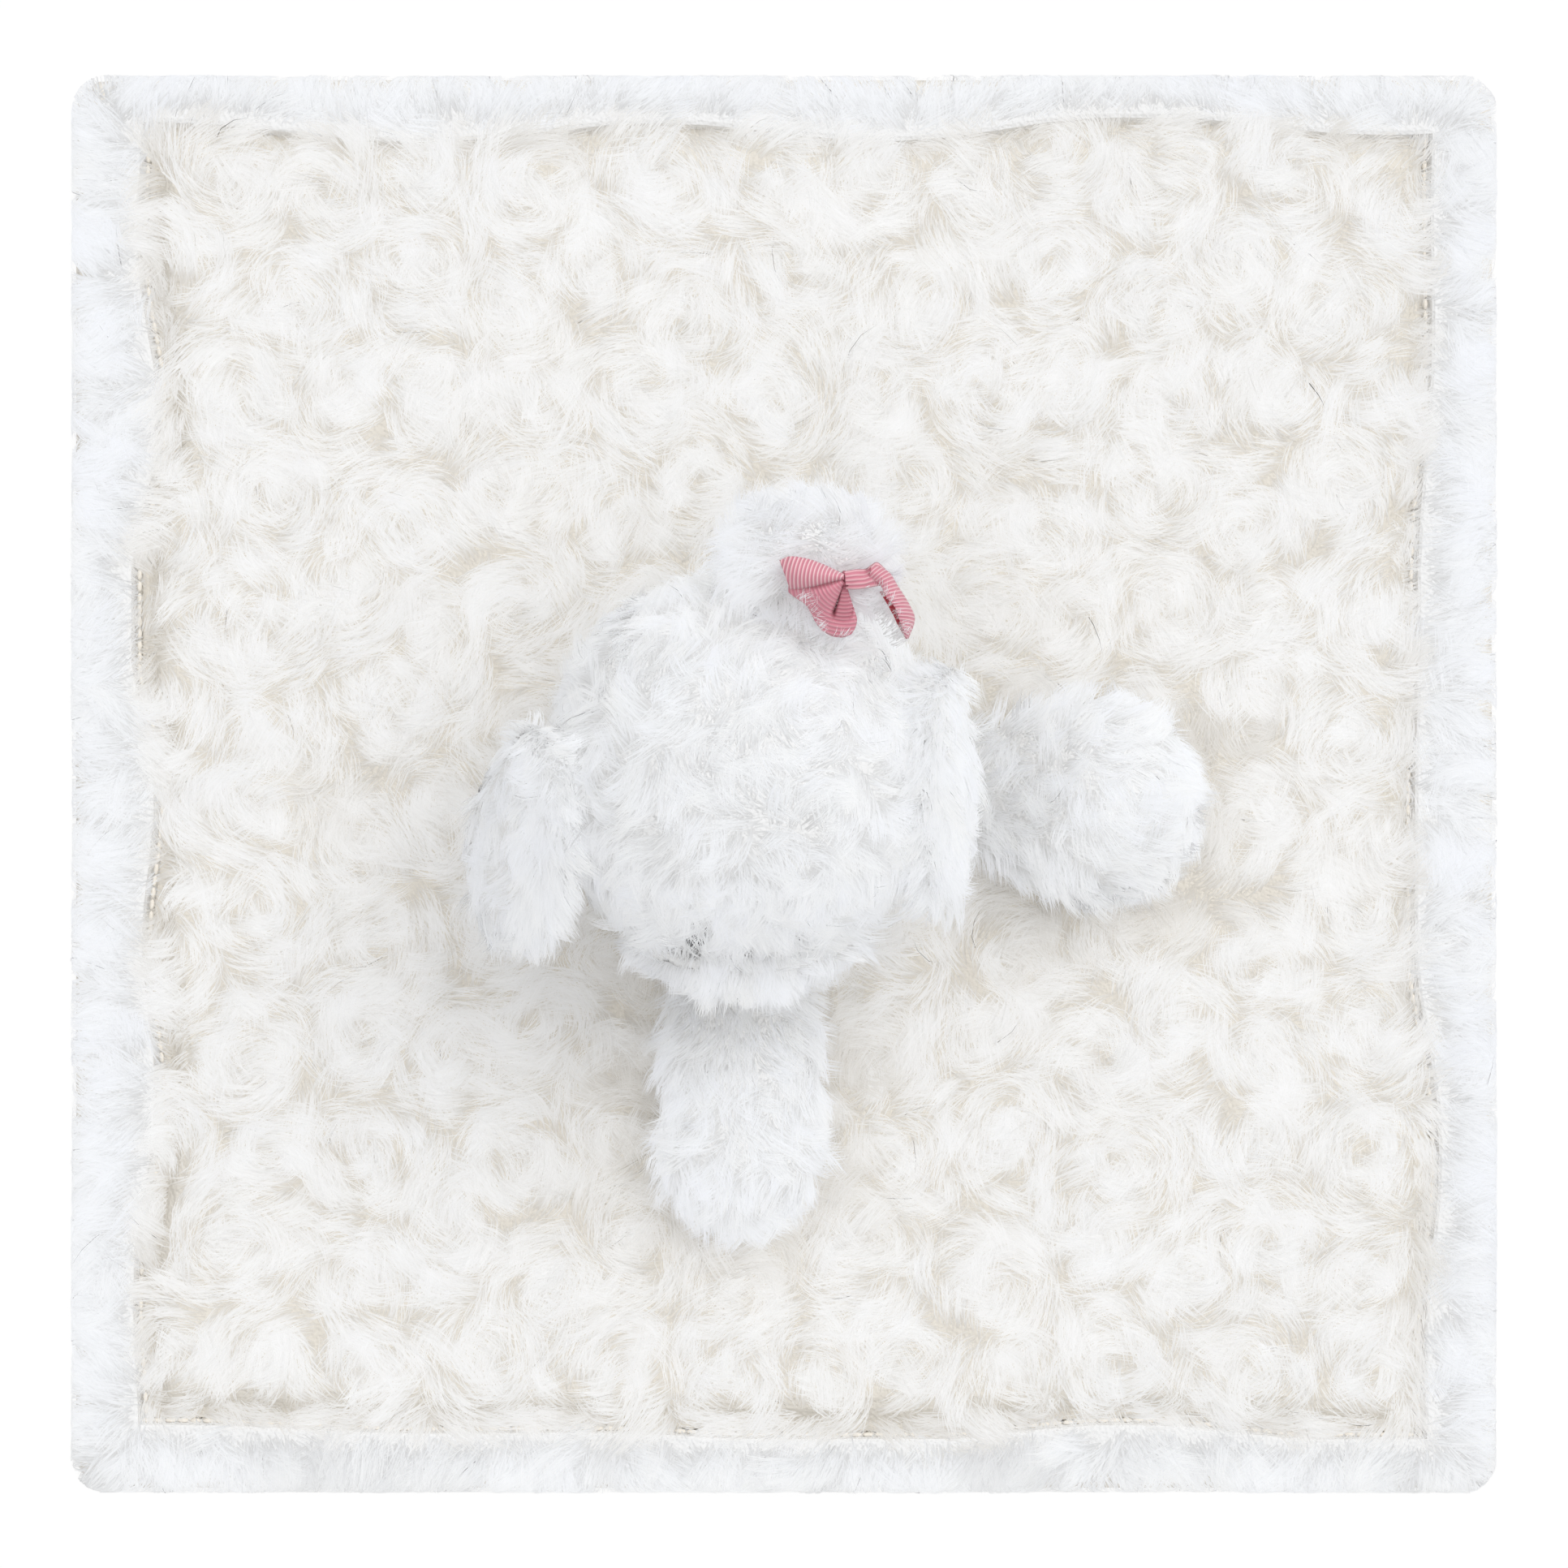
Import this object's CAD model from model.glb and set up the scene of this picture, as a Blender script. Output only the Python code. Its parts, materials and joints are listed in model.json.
"""The looks of a plush comfort blanket with a stuffed puppy head and two stuffed paws.

Metres, in the frame of the CAD: +Z up, the puppy faces -Y, the blanket lies on the floor at zero.
"""

import json
import math

import bmesh
import bpy
import numpy as np
from mathutils import Matrix, Vector
from mathutils.bvhtree import BVHTree

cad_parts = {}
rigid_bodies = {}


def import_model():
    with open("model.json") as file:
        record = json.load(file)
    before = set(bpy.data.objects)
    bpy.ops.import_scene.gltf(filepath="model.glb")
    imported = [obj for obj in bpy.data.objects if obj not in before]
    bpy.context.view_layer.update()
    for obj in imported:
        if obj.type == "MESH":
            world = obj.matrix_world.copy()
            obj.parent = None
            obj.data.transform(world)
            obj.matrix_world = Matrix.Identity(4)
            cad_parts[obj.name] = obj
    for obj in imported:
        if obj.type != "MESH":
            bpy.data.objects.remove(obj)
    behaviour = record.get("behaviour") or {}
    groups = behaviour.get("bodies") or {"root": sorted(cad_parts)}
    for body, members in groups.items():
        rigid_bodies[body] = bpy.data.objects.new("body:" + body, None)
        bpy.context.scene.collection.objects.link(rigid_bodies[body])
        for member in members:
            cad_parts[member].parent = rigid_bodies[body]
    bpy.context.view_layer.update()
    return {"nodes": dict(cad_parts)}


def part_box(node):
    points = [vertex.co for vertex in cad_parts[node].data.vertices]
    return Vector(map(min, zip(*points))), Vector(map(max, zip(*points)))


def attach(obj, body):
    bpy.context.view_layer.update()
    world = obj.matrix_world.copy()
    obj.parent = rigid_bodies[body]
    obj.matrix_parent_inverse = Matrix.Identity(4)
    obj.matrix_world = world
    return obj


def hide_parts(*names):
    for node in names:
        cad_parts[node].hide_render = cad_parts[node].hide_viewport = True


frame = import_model()

# ---------------------------------------------------------------- the room
# A pale floor under soft studio light: a wide lamp overhead, a softer key from the upper right,
# and a pale room all round. The camera looks straight down from above the middle of the blanket.
CAMERA_HEIGHT = 1.600
PILE_TOP = 0.012
VIEW_WIDTH = 0.3864
SENSOR_MM = 36.0
FLOOR_HALF = 1.5
FLOOR_DROP = 0.0004
OVERHEAD_LIGHT = 1.02
KEY_LIGHT = 0.98
ROOM_LIGHT = 0.56
FLOOR_GLOW = 0.88
WHITE = (1.0, 1.0, 1.0, 1.0)
LAMPS = (("overhead", OVERHEAD_LIGHT, (0.06, 0.10, 1.0), 95), ("key", KEY_LIGHT, (0.62, 0.66, 0.95), 38))


class Value:
    """A socket of a material, so that sums are written as sums. Each operation adds a Math node."""

    def __init__(self, paint, socket):
        self.paint = paint
        self.socket = socket

    def math(self, operation, *others):
        return self.paint.node("Math", {"operation": operation}, dict(enumerate((self, *others))))

    def __add__(self, other):
        return self.math("ADD", other)

    def __sub__(self, other):
        return self.math("SUBTRACT", other)

    def __mul__(self, other):
        return self.math("MULTIPLY", other)


class Paint:
    """A material, its nodes added one by one round a single Principled shader."""

    def __init__(self, name, **uniform):
        self.material = bpy.data.materials.new(name)
        self.material.use_nodes = True
        self.tree = self.material.node_tree
        self.shader = self.tree.nodes["Principled BSDF"]
        for socket, value in uniform.items():
            self.shader.inputs[socket.replace("_", " ")].default_value = value

    def feed(self, socket, value):
        if isinstance(value, Value):
            self.tree.links.new(value.socket, socket)
        elif isinstance(value, tuple) and len(value) == 3 and socket.type == "RGBA":
            socket.default_value = (*value, 1.0)
        else:
            socket.default_value = value

    def node(self, kind, settings, sockets, output=0):
        node = self.tree.nodes.new("ShaderNode" + kind)
        for key, value in settings.items():
            if key == "stops":
                while len(node.color_ramp.elements) < len(value):
                    node.color_ramp.elements.new(1.0)
                for element, (place, colour) in zip(node.color_ramp.elements, value):
                    element.position = place
                    element.color = (*colour, 1.0)
            else:
                setattr(node, key, value)
        for key, value in sockets.items():
            self.feed(node.inputs[key], value)
        return Value(self, node.outputs[output])

    def mix(self, share, first, second):
        """Colours mixed by a share. Sockets 6 and 7 are the colours of a Mix node."""
        return self.node("Mix", {"data_type": "RGBA"}, {0: share, 6: first, 7: second}, 2)

    def noise(self, place, size, detail=2.0):
        return self.node("TexNoise", {}, {"Vector": place, "Scale": 1.0 / size, "Detail": detail})

    def place(self):
        return self.node("TexCoord", {}, {}, 3)

    def from_map(self, uv_map):
        """The two values of a UV map."""
        split = self.tree.nodes.new("ShaderNodeSeparateXYZ")
        self.feed(split.inputs[0], self.node("UVMap", {"uv_map": uv_map}, {}))
        return Value(self, split.outputs[0]), Value(self, split.outputs[1])

    def surface(self, colour, height=None, depth=0.0):
        """Feeds the shader its colour and, where given, its relief, this deep."""
        self.feed(self.shader.inputs["Base Color"], colour)
        if height is not None:
            bump = self.node("Bump", {}, {"Height": height, "Distance": depth, "Strength": 1.0})
            self.feed(self.shader.inputs["Normal"], bump)
        return self.material


def mottled(name, colour, other, size, detail=2.0, relief=0.0, **uniform):
    """A material with a fine uneven grain of two colours and, where given, a relief this deep."""
    paint = Paint(name, **uniform)
    grain = paint.noise(paint.place(), size, detail)
    return paint.surface(paint.mix(grain, colour, other), grain if relief else None, relief)


def mixed(tree, share, first, second):
    """Two shaders mixed by a share, which is a number or another node's output."""
    mix = tree.nodes.new("ShaderNodeMixShader")
    if isinstance(share, float):
        mix.inputs[0].default_value = share
    else:
        tree.links.new(share, mix.inputs[0])
    tree.links.new(first, mix.inputs[1])
    tree.links.new(second, mix.inputs[2])
    return mix.outputs[0]


def only_to_the_camera(tree, white, other):
    """White to the camera and in reflections, and the other shader to light."""
    path = tree.nodes.new("ShaderNodeLightPath")
    seen = path.outputs["Is Camera Ray"]
    for more in ("Is Glossy Ray", "Is Transmission Ray"):
        either = tree.nodes.new("ShaderNodeMath")
        either.operation = "MAXIMUM"
        tree.links.new(seen, either.inputs[0])
        tree.links.new(path.outputs[more], either.inputs[1])
        seen = either.outputs[0]
    return mixed(tree, seen, other, white)


def make_room():
    scene = bpy.context.scene
    scene.view_settings.view_transform = "Standard"
    world = bpy.data.worlds.new("room")
    world.use_nodes = True
    scene.world = world
    tree = world.node_tree
    light = tree.nodes["Background"]
    light.inputs["Color"].default_value = WHITE
    light.inputs["Strength"].default_value = ROOM_LIGHT
    backdrop = tree.nodes.new("ShaderNodeBackground")
    backdrop.inputs["Color"].default_value = WHITE
    shown = only_to_the_camera(tree, backdrop.outputs[0], light.outputs[0])
    tree.links.new(shown, tree.nodes["World Output"].inputs["Surface"])

    mesh = bpy.data.meshes.new("floor")
    bm = bmesh.new()
    bmesh.ops.create_grid(bm, x_segments=1, y_segments=1, size=FLOOR_HALF)
    bmesh.ops.translate(bm, vec=(0, 0, -FLOOR_DROP), verts=bm.verts)
    bm.to_mesh(mesh)
    bm.free()
    floor = bpy.data.objects.new("floor", mesh)
    scene.collection.objects.link(floor)
    paint = Paint("floor_white", Base_Color=WHITE, Roughness=0.9)
    glow = paint.tree.nodes.new("ShaderNodeEmission")
    lit = paint.shader.outputs[0]
    bright = mixed(paint.tree, FLOOR_GLOW, lit, glow.outputs[0])
    shown = only_to_the_camera(paint.tree, bright, lit)
    paint.tree.links.new(shown, paint.tree.nodes["Material Output"].inputs["Surface"])
    mesh.materials.append(paint.material)

    for name, strength, way, spread in LAMPS:
        lamp = bpy.data.lights.new(name, "SUN")
        lamp.energy = strength
        lamp.angle = math.radians(spread)
        holder = bpy.data.objects.new(name, lamp)
        holder.rotation_mode = "QUATERNION"
        holder.rotation_quaternion = Vector(way).to_track_quat("Z", "Y")
        scene.collection.objects.link(holder)

    camera = bpy.data.objects.new("camera", bpy.data.cameras.new("camera"))
    camera.data.sensor_width = SENSOR_MM
    camera.data.lens = SENSOR_MM * (CAMERA_HEIGHT - PILE_TOP) / VIEW_WIDTH
    camera.location = (0, 0, CAMERA_HEIGHT)
    scene.collection.objects.link(camera)
    scene.camera = camera


make_room()

# ---------------------------------------------------------------- the backing
# Two-way knitted cloth under the whole blanket, turned in round its rim.
# It lies flat on what the blanket rests on, and only its rim shows from the sides.
CLOTH_IVORY = (0.90, 0.885, 0.855)
CLOTH_SHADE = (0.70, 0.655, 0.58)
BACKING_CELLS = 64
OUTLINE_ROUND = 0.008
RIM_ROUND = 0.0011
RIPPLE = 0.0002
RIPPLES_X, RIPPLES_Y = 210, 190
KNIT = 0.0011
BACKING_HALF = Vector(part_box("blanket_backing")[1]).xy


def add_object(name, mesh, material, body):
    """A finished mesh in the scene: it rides on its body and takes its look from a slot."""
    mesh.materials.append(material)
    piece = bpy.data.objects.new(name, mesh)
    bpy.context.scene.collection.objects.link(piece)
    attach(piece, body)
    return piece


def add_piece(name, bm, material, body, replaced=(), smooth=True):
    """A finished piece that stands for the solids that it replaces."""
    mesh = bpy.data.meshes.new(name)
    bm.to_mesh(mesh)
    bm.free()
    if smooth:
        mesh.shade_smooth()
    piece = add_object(name, mesh, material, body)
    if replaced:
        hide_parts(*replaced)
    return piece


def knitted(name, colour, shade, size):
    """Plain knitted ground, its loops in rows, a little uneven in tone."""
    paint = Paint(name, Roughness=0.95)
    place = paint.place()
    tone = paint.noise(place, size * 9, 3.0)
    loops = paint.node("TexVoronoi", {"feature": "SMOOTH_F1"}, {"Vector": place, "Scale": 1.0 / size})
    worn = paint.mix(tone, colour, shade)
    return paint.surface(paint.mix(loops * 0.5, worn, shade), loops, size * 0.4)


def make_backing():
    low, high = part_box("blanket_backing")
    half = (high - low) / 2
    corner = OUTLINE_ROUND
    bm = bmesh.new()
    bmesh.ops.create_grid(bm, x_segments=BACKING_CELLS, y_segments=BACKING_CELLS, size=1.0)
    for vert in bm.verts:
        x, y = vert.co.x * half.x, vert.co.y * half.y
        over = Vector((max(0, abs(x) - half.x + corner), max(0, abs(y) - half.y + corner)))
        if over.length > corner:
            inward = over - over.normalized() * corner
            x -= math.copysign(inward.x, x)
            y -= math.copysign(inward.y, y)
        vert.co = Vector((x, y, 0))
    under = bmesh.ops.duplicate(bm, geom=bm.verts[:] + bm.edges[:] + bm.faces[:])
    lower = {item for item in under["geom"] if isinstance(item, bmesh.types.BMVert)}
    rims = [edge for edge in bm.edges if edge.is_boundary]
    for vert in bm.verts:
        wave = math.sin(vert.co.x * RIPPLES_X) * math.sin(vert.co.y * RIPPLES_Y)
        rim = vert.is_boundary
        if vert in lower:
            vert.co.z = RIM_ROUND if rim else 0.0
        else:
            vert.co.z = high.z - (RIM_ROUND if rim else RIPPLE * (1 + wave))
    bmesh.ops.bridge_loops(bm, edges=rims)
    bmesh.ops.recalc_face_normals(bm, faces=bm.faces)
    cloth = knitted("backing_knit", CLOTH_IVORY, CLOTH_SHADE, KNIT)
    backing = add_piece("backing_cloth", bm, cloth, "blanket", ["blanket_backing"])


make_backing()

# ---------------------------------------------------------------- the blanket's face
# Long soft pile on a knitted ground, brushed into rosettes: in each the pile opens from a point
# and swirls outwards. Each lock of pile is a bunch of fibres that lean together towards its tip.
FIBRE_STEPS = 3
FIBRE_CLEARNESS = 0.45
SHINE_SHARE = 0.25
LOCK_LENGTHS, FIBRE_LENGTHS = (0.78, 1.18), (0.80, 1.10)
LOCK_LEAN_DEGREES, FIBRE_LEAN = 6, 0.11
LOCK_CURLS, FIBRE_CURL = (0.2, 1.3), 0.25
FIBRE_TURN, FIBRE_ROLL = 0.22, 0.55
GATHERED_SPREAD = 0.25
TINT_SPREAD = 0.07
MIDDLE_AT, TIP_AT, DULL_TIP_AT = 0.38, 0.85, 0.90
DEEP_SHARE = 0.93
WAVES = 7
WAVES_SUM = 2.6
ROSETTES_ACROSS = ROSETTES_ALONG = 12
ROSETTE_WANDER = 0.24
ROSETTE_DEPTH = 0.0034
ROSETTE = 0.0260
LOCK_SPACING = 0.0040
SEAM_BARE = 0.0003
SEAM_FRINGE = 0.0034
SEAM_FRINGE_SPACING = 0.0027
SEAM_LIFT = 30
ROSETTE_SWIRL = (24, 54)
SEAM_FIRM, SEAM_FIRM_SPREAD = 0.78, 0.18
HOLLOW_FROM, HOLLOW_REACH = 0.0012, 0.0035
SHORT_AT_SEAM, LONG_FROM, SHORTEST = 0.55, 0.014, 0.74
FACE_TONE = 0.68
HOLLOW_SHADE = 0.40
TOY_SHADE = 0.70
UNDER_TOY = 0.006
BESIDE_TOY = 0.014
SWIRL_LOOSE = 0.75
GROUND_SHARE = 0.74
DIP_SHARE = 0.8
UNDER_CAD = 0.0003
PIECE_TRIANGLES = 180_000
GRID_JITTER = 0.45
SEAM_WANDER = 0.0030
SEAM_PULL_REACH = 0.016
SEAM_COVER = 0.006
SEAM_VALLEY = 0.0055
SEAM_BOTTOM = 0.0008
CUT_STEP = 0.012
SEAM_CUTS = (0.0015, 0.0030, 0.0055)
FACE_PILE = dict(
    length=0.0125, lean=(58, 86), fibres=29, spread=0.0033, width=0.00032, gather=0.50, curl=56,
    untidy=14, up=0.44,
)
UP, DOWN = np.array([0.0, 0.0, 1.0]), Vector((0, 0, -1))
CAST_FROM = 0.2
MERGE, FLAT = 0.00001, 0.0001


def waves(points, reach, seed):
    """Smooth random values from -1 to 1 that change over this distance."""
    rng = np.random.default_rng(seed)
    ways = rng.normal(size=(WAVES, 3))
    ways /= np.linalg.norm(ways, axis=1, keepdims=True)
    turns = ways * (2 * np.pi / reach * rng.uniform(0.6, 1.5, (WAVES, 1)))
    phases = rng.uniform(0, 2 * np.pi, WAVES)
    return np.clip(np.sin(points @ turns.T + phases).sum(axis=1) / WAVES_SUM, -1, 1)


def eased(share):
    """A share from 0 to 1 that starts and ends gently."""
    return share * share * (3 - 2 * share)


def unit(vectors):
    return vectors / np.maximum(np.linalg.norm(vectors, axis=-1, keepdims=True), 1e-12)


def flat_on(ways, outward):
    """The ways laid along the surface."""
    return unit(ways - outward * (ways * outward).sum(axis=-1, keepdims=True))


def turned(ways, outward, angles):
    """The ways turned about the outward direction."""
    cos, sin = np.cos(angles)[:, None], np.sin(angles)[:, None]
    return ways * cos + np.cross(outward, ways) * sin


def bent_lines(roots, outward, ways, length, lean, curl):
    """Each fibre's points: it leaves its root leaning, lies down along its way and curls aside."""
    share = np.linspace(0, 1, FIBRE_STEPS + 1)[:-1]
    slope = lean[0][:, None] + (lean[1] - lean[0])[:, None] * share**0.6
    aside = curl[:, None] * share
    across = np.cross(outward, ways)
    along = np.cos(aside)[..., None] * ways[:, None] + np.sin(aside)[..., None] * across[:, None]
    steps = np.cos(slope)[..., None] * outward[:, None] + np.sin(slope)[..., None] * along
    steps *= (length / FIBRE_STEPS)[:, None, None]
    path = np.concatenate([np.zeros((len(roots), 1, 3)), np.cumsum(steps, axis=1)], axis=1)
    return roots[:, None] + path


def grow(locks, look, seed):
    """Fibres in locks: a lock's fibres start round its place and gather towards the lock's own tip."""
    rng = np.random.default_rng(seed)
    places, outward = locks["places"], locks["outward"]
    count, many = len(places), look["fibres"]
    ways = turned(locks["ways"], outward, rng.normal(0, math.radians(look["untidy"]), count))
    length = look["length"] * locks["scale"] * rng.uniform(*LOCK_LENGTHS, count)
    lean = [np.radians(angle + rng.normal(0, LOCK_LEAN_DEGREES, count)) for angle in look["lean"]]
    lean[1] = lean[1] + np.radians(locks["droop"])
    curl = np.radians(look["curl"]) * rng.uniform(*LOCK_CURLS, count) * locks["spin"]
    guide = bent_lines(places, outward, ways, length, lean, curl)

    own = np.repeat(np.arange(count), many)
    total = len(own)
    angle, reach = rng.uniform(0, 2 * np.pi, total), np.sqrt(rng.uniform(0, 1, total))
    across = np.cross(outward, ways)
    offset = ways[own] * (np.cos(angle) * reach)[:, None] + across[own] * (np.sin(angle) * reach)[:, None]
    offset *= look["spread"]
    lines = bent_lines(
        places[own] + offset,
        outward[own],
        turned(ways[own], outward[own], rng.normal(0, FIBRE_TURN, total)),
        length[own] * rng.uniform(*FIBRE_LENGTHS, total),
        [part[own] + rng.normal(0, FIBRE_LEAN, total) for part in lean],
        curl[own] + rng.normal(0, FIBRE_CURL, total),
    )
    share = np.linspace(0, 1, FIBRE_STEPS + 1)[None, :, None]
    gather = look["gather"] * share**1.2
    lines = lines * (1 - gather) + (guide[own] + offset[:, None] * GATHERED_SPREAD) * gather
    return lines, outward[own], own


def pile_mesh(name, lines, outward, width, up, tint, seed):
    """Flat tapering fibres as one mesh. Its UV map runs along each fibre, and across by its tint.
    Their flat sides face outwards from the form, turned upwards by this share."""
    rng = np.random.default_rng(seed)
    count, steps = lines.shape[0], lines.shape[1] - 1
    along = unit(np.diff(lines, axis=1))
    along = np.concatenate([along, along[:, -1:]], axis=1)
    facing = unit(outward * (1 - up) + UP * up)[:, None]
    side = unit(np.cross(facing, along))
    roll = rng.normal(0, FIBRE_ROLL, count)
    flat = np.cross(along, side)
    side = side * np.cos(roll)[:, None, None] + flat * np.sin(roll)[:, None, None]
    taper = 1.0 - np.linspace(0, 1, steps + 1)[:-1] ** 2.4
    half = side[:, :-1] * (taper[None, :, None] * width / 2)
    pairs = np.stack([lines[:, :-1] - half, lines[:, :-1] + half], axis=2).reshape(count, 2 * steps, 3)
    points = np.concatenate([pairs, lines[:, -1:]], axis=1)

    shine = unit(np.cross(along, side))
    shine *= np.sign((shine * facing).sum(axis=-1, keepdims=True) + 1e-9)
    normals = unit(shine * SHINE_SHARE + facing * (1 - SHINE_SHARE))
    normals = np.concatenate([np.repeat(normals[:, :-1], 2, axis=1), normals[:, -1:]], axis=1)

    each = 2 * steps + 1
    quads = [(2 * k + 1, 2 * k, 2 * k + 2, 2 * k + 3) for k in range(steps - 1)]
    tip = (2 * steps - 1, 2 * steps - 2, 2 * steps)
    pattern = np.array([corner for quad in quads for corner in quad] + list(tip))
    loops = (np.arange(count)[:, None] * each + pattern[None]).reshape(-1)
    sizes = np.tile([4] * (steps - 1) + [3], count)

    mesh = bpy.data.meshes.new(name)
    mesh.vertices.add(count * each)
    mesh.vertices.foreach_set("co", points.astype(np.float32).reshape(-1))
    mesh.loops.add(len(loops))
    mesh.loops.foreach_set("vertex_index", loops.astype(np.int32))
    mesh.polygons.add(len(sizes))
    mesh.polygons.foreach_set("loop_start", (np.cumsum(sizes) - sizes).astype(np.int32))
    mesh.update(calc_edges=True)
    mesh.shade_smooth()

    level = np.concatenate([np.repeat(np.linspace(0, 1, steps + 1)[:-1], 2), [1.0]])
    edge = np.concatenate([np.tile([-1.0, 1.0], steps), [0.0]])
    u = 0.02 + 0.96 * np.tile(level[pattern], count)
    v = 0.03 + 0.94 * np.repeat(np.clip(tint, 0, 1), len(pattern)) + 0.012 * np.tile(edge[pattern], count)
    layer = mesh.uv_layers.new(name="OFBake")
    layer.data.foreach_set("uv", np.stack([u, v], axis=1).astype(np.float32).reshape(-1))
    mesh.normals_split_custom_set_from_vertices(normals.reshape(-1, 3).tolist())
    return mesh


def pile_paint(name, root, middle, tip, cool_tip, shade):
    """Fibres that let some light through, deeper in tone at the root. Their tips run with the UV
    map's V from shaded through warm to cool white."""
    paint = Paint(name, Roughness=0.9, Specular_IOR_Level=0.15)
    along, tint = paint.from_map("OFBake")
    deep = tuple(value * DEEP_SHARE for value in root)
    warm, cool, dull = (
        paint.node("ValToRGB", {"stops": stops}, {0: along})
        for stops in (
            [(0.0, root), (MIDDLE_AT, middle), (TIP_AT, tip)],
            [(0.0, root), (MIDDLE_AT, middle), (TIP_AT, cool_tip)],
            [(0.0, deep), (DULL_TIP_AT, shade)],
        )
    )
    colour = paint.mix(tint * 2.0 - 1.0, paint.mix(tint * 2.0, dull, warm), cool)
    glow = paint.tree.nodes.new("ShaderNodeBsdfTranslucent")
    paint.feed(glow.inputs["Color"], colour)
    through = mixed(paint.tree, FIBRE_CLEARNESS, paint.shader.outputs[0], glow.outputs[0])
    paint.tree.links.new(through, paint.tree.nodes["Material Output"].inputs["Surface"])
    return paint.surface(colour)


IVORY_PILE = pile_paint(
    "ivory_pile", (0.76, 0.73, 0.68), (0.922, 0.920, 0.914), (0.952, 0.953, 0.955), (0.945, 0.952, 0.968),
    (0.88, 0.868, 0.845),
)
COOL_PILE = pile_paint(
    "cool_pile", (0.74, 0.74, 0.74), (0.905, 0.915, 0.93), (0.955, 0.96, 0.96), (0.935, 0.95, 0.985),
    (0.79, 0.795, 0.80),
)
IVORY_GROUND = knitted("ivory_ground", (0.76, 0.725, 0.66), (0.69, 0.65, 0.58), 0.0009)
COOL_GROUND = knitted("cool_ground", (0.85, 0.855, 0.86), (0.79, 0.79, 0.79), 0.0009)


def cad_copy(node):
    """A CAD solid's mesh with its loose triangles joined up."""
    bm = bmesh.new()
    bm.from_mesh(frame["nodes"][node].data)
    bmesh.ops.remove_doubles(bm, verts=bm.verts, dist=MERGE)
    return bm


def tree_of(objects):
    """What rays are cast at: the surfaces of these objects."""
    bm = bmesh.new()
    for item in objects:
        bm.from_mesh(item.data)
    tree = BVHTree.FromBMesh(bm)
    bm.free()
    return tree


def cad_tree(*nodes):
    return tree_of(frame["nodes"][node] for node in nodes)


def seen_at(tree, x, y):
    """Where the topmost surface is here, and its normal. Both are None beside it."""
    return tree.ray_cast(Vector((x, y, CAST_FROM)), DOWN)[:2]


def cut_across(bm):
    """Cuts across a cloth, so that it bends where the seam wanders and down into the seam's valley."""
    low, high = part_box("blanket_face")
    for axis in (0, 1):
        cuts = list(np.arange(-BACKING_HALF[axis] + CUT_STEP, BACKING_HALF[axis], CUT_STEP))
        for away in SEAM_CUTS:
            cuts += [low[axis] - away, low[axis] + away, high[axis] - away, high[axis] + away]
        for cut in cuts:
            place, way = Vector((0, 0, 0)), Vector((0, 0, 0))
            place[axis], way[axis] = cut, 1.0
            parts = bm.verts[:] + bm.edges[:] + bm.faces[:]
            bmesh.ops.bisect_plane(bm, geom=parts, dist=MERGE, plane_co=place, plane_no=way)


def reshaped(bm, xy, height):
    """Moves a cloth's vertices to these places and turns its faces the right way again."""
    for vert, (x, y), z in zip(bm.verts, xy, height):
        vert.co = Vector((x, y, z))
    bmesh.ops.recalc_face_normals(bm, faces=bm.faces)


def swirl(places, outward, centres, spins, size):
    """The pile's way at each place, from the rosette that it lies in, and that rosette's spin."""
    gaps = np.linalg.norm(places[:, None] - centres[None], axis=2)
    nearest = gaps.argmin(axis=1)
    share = np.clip(gaps.min(axis=1) / (size * 0.55), 0, 1)
    bend = np.radians(ROSETTE_SWIRL[0] + ROSETTE_SWIRL[1] * share)
    angle = spins[nearest] * bend + SWIRL_LOOSE * waves(places, size * 0.7, 17)
    return turned(flat_on(centres[nearest] - places, outward), outward, angle), spins[nearest]


def jittered_grid(low, high, spacing, seed):
    rng = np.random.default_rng(seed)
    xs, ys = np.arange(low[0], high[0], spacing), np.arange(low[1], high[1], spacing)
    grid = np.stack(np.meshgrid(xs, ys), axis=-1)
    grid[1::2, :, 0] += spacing / 2
    grid = grid.reshape(-1, 2)
    return grid + rng.uniform(-GRID_JITTER, GRID_JITTER, grid.shape) * spacing


def new_locks(places, outward, ways, **more):
    """Locks of pile: their places and ways, and each one's scale, spin, droop and tone."""
    count = len(places)
    locks = dict(places=places, outward=outward, ways=ways, scale=np.ones(count), spin=np.ones(count))
    locks.update(droop=np.zeros(count), tone=np.full(count, 0.5))
    locks.update(more)
    return locks


def add_piles(name, locks, look, paint, body, seed, shape=None):
    """Grows the locks into as many pieces as keep each one light. Shape trims or parts the fibres.

    Fibres this fine let nearly all the light past: the cloth under them casts the shadows.
    """
    order = np.argsort(locks["places"][:, 1], kind="stable")
    triangles = len(order) * look["fibres"] * (2 * FIBRE_STEPS - 1)
    parts = np.array_split(order, math.ceil(triangles / PIECE_TRIANGLES))
    for number, part in enumerate(parts, 1):
        here = {key: values[part] for key, values in locks.items()}
        lines, outward, own = grow(here, look, seed + number)
        if shape:
            lines, outward, own = shape(lines, outward, own)
        tint = here["tone"][own] + np.random.default_rng(seed + number).normal(0, TINT_SPREAD, len(own))
        piece_name = name if len(parts) == 1 else f"{name}_{number}"
        mesh = pile_mesh(piece_name, lines, outward, look["width"], look["up"], tint, seed + number)
        piece = add_object(piece_name, mesh, paint, body)
        piece.visible_shadow = piece.visible_diffuse = False


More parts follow.
